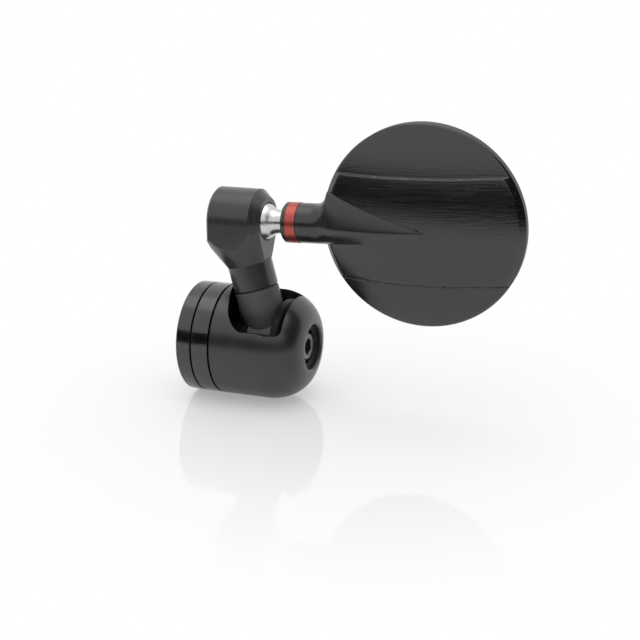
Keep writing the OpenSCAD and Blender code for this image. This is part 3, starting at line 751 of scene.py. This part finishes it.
# polished stud: the ball runs into the shaft in a hollow curve, and a groove holds it in the neck
studShape = {
    "ball": 7.0, "shaft": 4.2, "hollow": 4.5, "shaftEnd": 11.65, "journal": 3.0, "tip": 23.9, "tipChamfer": 0.5,
    "groove": (18.4, 21.8), "grooveDeep": 0.8, "arcSteps": 28, "hollowSteps": 12,
}


def makeStud():
    look = studShape
    ball, shaft, hollow = look["ball"], look["shaft"], look["hollow"]
    centre = math.sqrt((ball + hollow) ** 2 - (shaft + hollow) ** 2)
    meet = math.acos(centre / (ball + hollow))
    points = []
    for i in range(look["arcSteps"] + 1):
        turn = math.pi - (math.pi - meet) * i / look["arcSteps"]
        points.append((ball * math.cos(turn), ball * math.sin(turn)))
    for i in range(1, look["hollowSteps"] + 1):
        turn = meet + (math.pi / 2 - meet) * i / look["hollowSteps"]
        points.append((centre - hollow * math.cos(turn), shaft + hollow - hollow * math.sin(turn)))
    inner = look["journal"] - look["grooveDeep"]
    start, end = look["groove"]
    points += [
        (look["shaftEnd"] - 0.25, shaft), (look["shaftEnd"], shaft - 0.25), (look["shaftEnd"], look["journal"]),
        (start, look["journal"]), (start, inner), (end, inner), (end, look["journal"]),
        (look["tip"] - look["tipChamfer"], look["journal"]), (look["tip"], look["journal"] - look["tipChamfer"]),
        (look["tip"], 0),
    ]
    stud = turnProfile("studPolished", points)
    onlySelect(stud)
    bpy.ops.object.shade_smooth_by_angle(angle=math.radians(35))
    stud.matrix_world = Matrix.Translation(ballPlace) @ Matrix.Rotation(-mirrorRaise, 4, "Y")
    bpy.ops.object.transform_apply(location=True, rotation=True, scale=True)
    stud.data.materials.append(finishes["studSteel"])
    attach(stud, "stud")
    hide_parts("ball_stud")
    return stud


stud = makeStud()
print("stud modelled:", len(stud.data.polygons), "faces")


# the two rings, each with a fine groove turned into its outboard edge: name, node, and where the groove starts and ends
grooveShape = {
    "floor": 19.2, "outside": 21.0,
    "rings": {"spacerRing": ("bar_spacer", 5.52, 6.2), "baseRing": ("pivot_base", 12.42, 13.1)},
}
for ringName, (nodeName, grooveStart, grooveEnd) in grooveShape["rings"].items():
    ring = bpy.data.objects.new(ringName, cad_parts[nodeName].data.copy())
    bpy.context.scene.collection.objects.link(ring)
    closeShell(ring)
    inner, outer = grooveShape["floor"], grooveShape["outside"]
    cutter = turnProfile("grooveCutter", [(grooveStart, inner), (grooveEnd, inner), (grooveEnd, outer),
                                          (grooveStart, outer), (grooveStart, inner)])
    groove = ring.modifiers.new("groove", "BOOLEAN")
    groove.operation = "DIFFERENCE"
    groove.solver = "EXACT"
    groove.object = cutter
    applyAll(ring)
    bpy.data.objects.remove(cutter, do_unlink=True)
    crispNormals(ring, 24)
    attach(ring, "bar_mount")
    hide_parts(nodeName)
print("rings grooved:", len(grooveShape["rings"]))

# floor, world and lamps
floorLook = {
    "height": -20 * mm, "size": 40.0, "color": (0.93, 0.93, 0.935, 1), "roughness": 0.06, "ior": 1.6,
    "near": 0.045, "far": 0.16, "shareNear": 0.32, "centre": (60 * mm, 0, 0),
}
bpy.ops.object.select_all(action="DESELECT")
bpy.ops.mesh.primitive_plane_add(size=floorLook["size"], location=(0, 0, floorLook["height"]))
floor = bpy.context.active_object
floor.name = "studioFloor"
floorMaterial = bpy.data.materials.new("studioWhite")
floorMaterial.use_nodes = True
floorTree = floorMaterial.node_tree
floorShader = floorTree.nodes["Principled BSDF"]
floorShader.inputs["Base Color"].default_value = floorLook["color"]
floorShader.inputs["Roughness"].default_value = floorLook["roughness"]
floorShader.inputs["IOR"].default_value = floorLook["ior"]
# white of its own for what is seen straight or in a reflection, all of it far away and a share near the mirror
floorRays = addNode(floorTree, "ShaderNodeLightPath", -600, 300)
floorSeen = mathNode(floorTree, "MAXIMUM", -400, 300, floorRays.outputs["Is Camera Ray"],
                     floorRays.outputs["Is Glossy Ray"])
floorSeen = mathNode(floorTree, "MAXIMUM", -220, 300, floorSeen, floorRays.outputs["Is Transmission Ray"])
floorPlace = addNode(floorTree, "ShaderNodeTexCoord", -900, 0)
floorAway = addNode(floorTree, "ShaderNodeVectorMath", -700, 0, operation="DISTANCE")
floorAway.inputs[1].default_value = floorLook["centre"]
floorTree.links.new(floorPlace.outputs["Object"], floorAway.inputs[0])
floorFade = addNode(floorTree, "ShaderNodeMapRange", -500, 0, interpolation_type="SMOOTHSTEP")
floorFade.inputs["From Min"].default_value = floorLook["near"]
floorFade.inputs["From Max"].default_value = floorLook["far"]
floorFade.inputs["To Min"].default_value = floorLook["shareNear"]
floorTree.links.new(floorAway.outputs["Value"], floorFade.inputs["Value"])
floorShare = mathNode(floorTree, "MULTIPLY", -40, 300, floorSeen, floorFade.outputs["Result"])
floorGlow = addNode(floorTree, "ShaderNodeEmission", 100, -200)
floorMix = addNode(floorTree, "ShaderNodeMixShader", 320, 0)
floorTree.links.new(floorShare, floorMix.inputs["Fac"])
floorTree.links.new(floorShader.outputs["BSDF"], floorMix.inputs[1])
floorTree.links.new(floorGlow.outputs["Emission"], floorMix.inputs[2])
floorTree.links.new(floorMix.outputs[0], floorTree.nodes["Material Output"].inputs["Surface"])
floor.data.materials.append(floorMaterial)

worldLook = {"light": 0.8, "seen": 1.0}
world = bpy.data.worlds.new("studioWorld")
bpy.context.scene.world = world
world.use_nodes = True
worldTree = world.node_tree
worldLight = worldTree.nodes["Background"]
worldLight.inputs["Color"].default_value = (1, 1, 1, 1)
worldLight.inputs["Strength"].default_value = worldLook["light"]
worldSeen = addNode(worldTree, "ShaderNodeBackground", -100, -200)
worldSeen.inputs["Color"].default_value = (1, 1, 1, 1)
worldSeen.inputs["Strength"].default_value = worldLook["seen"]
worldRays = addNode(worldTree, "ShaderNodeLightPath", -600, 300)
worldShown = mathNode(worldTree, "MAXIMUM", -400, 300, worldRays.outputs["Is Camera Ray"],
                      worldRays.outputs["Is Glossy Ray"])
worldShown = mathNode(worldTree, "MAXIMUM", -220, 300, worldShown, worldRays.outputs["Is Transmission Ray"])
worldMix = addNode(worldTree, "ShaderNodeMixShader", 150, 0)
worldTree.links.new(worldShown, worldMix.inputs["Fac"])
worldTree.links.new(worldLight.outputs[0], worldMix.inputs[1])
worldTree.links.new(worldSeen.outputs[0], worldMix.inputs[2])
worldTree.links.new(worldMix.outputs[0], worldTree.nodes["World Output"].inputs["Surface"])

# one wide softbox overhead, as bright as the white round it
softboxLook = {"place": (0.05, -0.05, 1.0), "size": 1.2, "power": 3.2}
softboxData = bpy.data.lights.new("topSoftbox", "AREA")
softboxData.shape = "DISK"
softboxData.size = softboxLook["size"]
softboxData.energy = softboxLook["power"]
softbox = bpy.data.objects.new("topSoftbox", softboxData)
bpy.context.scene.collection.objects.link(softbox)
softbox.location = softboxLook["place"]

# dark cards: a low one curves round the front and gives the black metal its dark bands, a tall one stands at the side
cardLook = {
    "radius": 0.29, "centre": (60 * mm, 0), "low": -0.012, "height": 0.107, "vertices": 96, "frontOnly": -0.05,
    "sideSize": (0.42, 0.34), "sidePlace": (0.42, -0.12, 0.2), "color": (0.004, 0.004, 0.004, 1),
}
cardMaterial = bpy.data.materials.new("darkCardCloth")
cardMaterial.use_nodes = True
cardTree = cardMaterial.node_tree
cardGlow = addNode(cardTree, "ShaderNodeEmission", 100, -200)
cardGlow.inputs["Color"].default_value = cardLook["color"]
cardTree.links.new(cardGlow.outputs["Emission"], cardTree.nodes["Material Output"].inputs["Surface"])
bpy.ops.object.select_all(action="DESELECT")
bpy.ops.mesh.primitive_cylinder_add(
    vertices=cardLook["vertices"], radius=cardLook["radius"], depth=cardLook["height"], end_fill_type="NOTHING",
    location=(*cardLook["centre"], cardLook["low"] + cardLook["height"] / 2),
)
frontCard = bpy.context.active_object
frontCard.name = "frontCard"
bpy.ops.object.mode_set(mode="EDIT")
bpy.ops.mesh.select_all(action="SELECT")
bpy.ops.mesh.bisect(plane_co=(0, cardLook["frontOnly"], 0), plane_no=(0, 1, 0), clear_outer=True)
bpy.ops.object.mode_set(mode="OBJECT")
bpy.ops.mesh.primitive_plane_add(size=1, location=cardLook["sidePlace"], rotation=(0, math.pi / 2, 0))
sideCard = bpy.context.active_object
sideCard.name = "sideCard"
sideCard.scale = (cardLook["sideSize"][0], cardLook["sideSize"][1], 1)
for card in (frontCard, sideCard):
    card.visible_camera = False
    card.visible_diffuse = False
    card.visible_shadow = False
    card.visible_transmission = False
    card.data.materials.append(cardMaterial)

cameraLook = {
    "place": (0.19522, -0.38222, 0.12719), "tilt": 74.083, "heading": 21.126, "lens": 67.5, "sensor": 36.0,
}
cameraData = bpy.data.cameras.new("photoCamera")
cameraData.lens = cameraLook["lens"]
cameraData.sensor_width = cameraLook["sensor"]
cameraData.sensor_fit = "HORIZONTAL"
cameraData.clip_start = 0.01
cameraData.clip_end = 100
camera = bpy.data.objects.new("photoCamera", cameraData)
bpy.context.scene.collection.objects.link(camera)
camera.location = cameraLook["place"]
camera.rotation_euler = (math.radians(cameraLook["tilt"]), 0, math.radians(cameraLook["heading"]))
bpy.context.scene.camera = camera
bpy.context.scene.view_settings.view_transform = "Standard"
print("stage, lamps and camera set")
